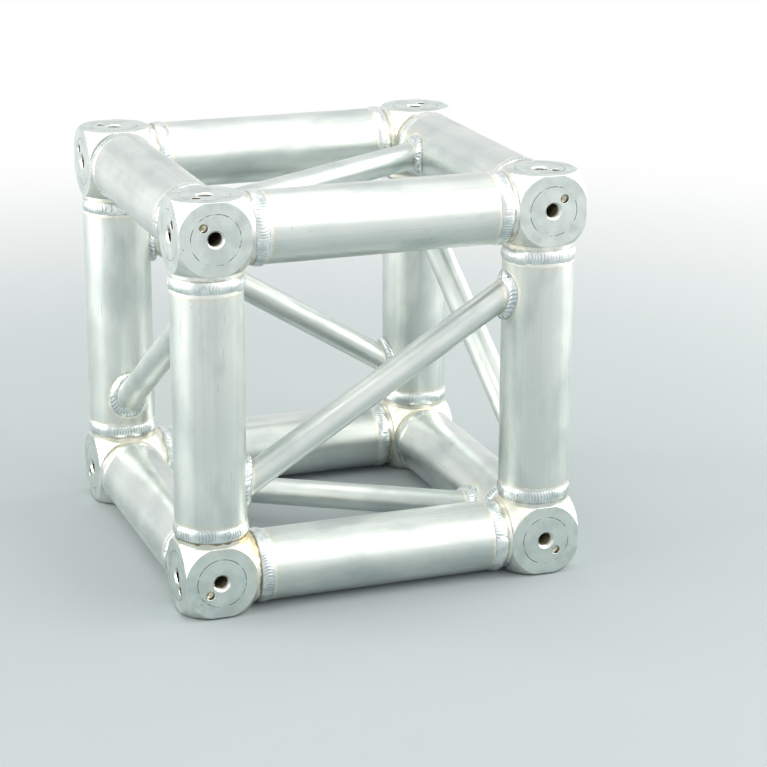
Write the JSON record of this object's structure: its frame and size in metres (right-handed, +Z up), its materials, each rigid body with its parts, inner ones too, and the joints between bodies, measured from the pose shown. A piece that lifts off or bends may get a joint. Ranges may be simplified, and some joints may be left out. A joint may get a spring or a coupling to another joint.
{
  "type": "truss junction cube",
  "caption": "Welded aluminium box corner that joins straight lengths of square lighting truss at right angles, with threaded corner blocks and diagonal braces.",
  "frame": {"origin": "centre of the cube, where the axes of all joining trusses cross", "axes": "+Z up; the front face, whose brace rises to the right, looks along -Y; +X to the right seen from the front"},
  "size_m": [0.2924, 0.2924, 0.2924],
  "materials": {
    "main_tube": "mill-finish extruded, lightly scratched",
    "brace_tube": "mill-finish drawn",
    "machined_block": "turned and faced, satin",
    "weld_bead": "rippled as welded, with a warm tint at its edges"
  },
  "bodies": {
    "root": {"corner_block_front_left_bottom": "machined_block", "corner_block_front_left_top": "machined_block", "corner_block_rear_left_bottom": "machined_block", "corner_block_rear_left_top": "machined_block", "corner_block_front_right_bottom": "machined_block", "corner_block_front_right_top": "machined_block", "corner_block_rear_right_bottom": "machined_block", "corner_block_rear_right_top": "machined_block", "corner_welds_front_left_bottom": "weld_bead", "corner_welds_front_left_top": "weld_bead", "corner_welds_rear_left_bottom": "weld_bead", "corner_welds_rear_left_top": "weld_bead", "corner_welds_front_right_bottom": "weld_bead", "corner_welds_front_right_top": "weld_bead", "corner_welds_rear_right_bottom": "weld_bead", "corner_welds_rear_right_top": "weld_bead", "cross_tube_front_bottom": "main_tube", "cross_tube_front_top": "main_tube", "cross_tube_rear_bottom": "main_tube", "cross_tube_rear_top": "main_tube", "side_tube_left_bottom": "main_tube", "side_tube_left_top": "main_tube", "side_tube_right_bottom": "main_tube", "side_tube_right_top": "main_tube", "upright_front_left": "main_tube", "upright_front_right": "main_tube", "upright_rear_left": "main_tube", "upright_rear_right": "main_tube", "brace_left": "brace_tube", "brace_right": "brace_tube", "brace_front": "brace_tube", "brace_rear": "brace_tube", "brace_bottom": "brace_tube", "brace_top": "brace_tube", "brace_welds_left": "weld_bead", "brace_welds_right": "weld_bead", "brace_welds_front": "weld_bead", "brace_welds_rear": "weld_bead", "brace_welds_bottom": "weld_bead", "brace_welds_top": "weld_bead"}
  },
  "joints": []
}
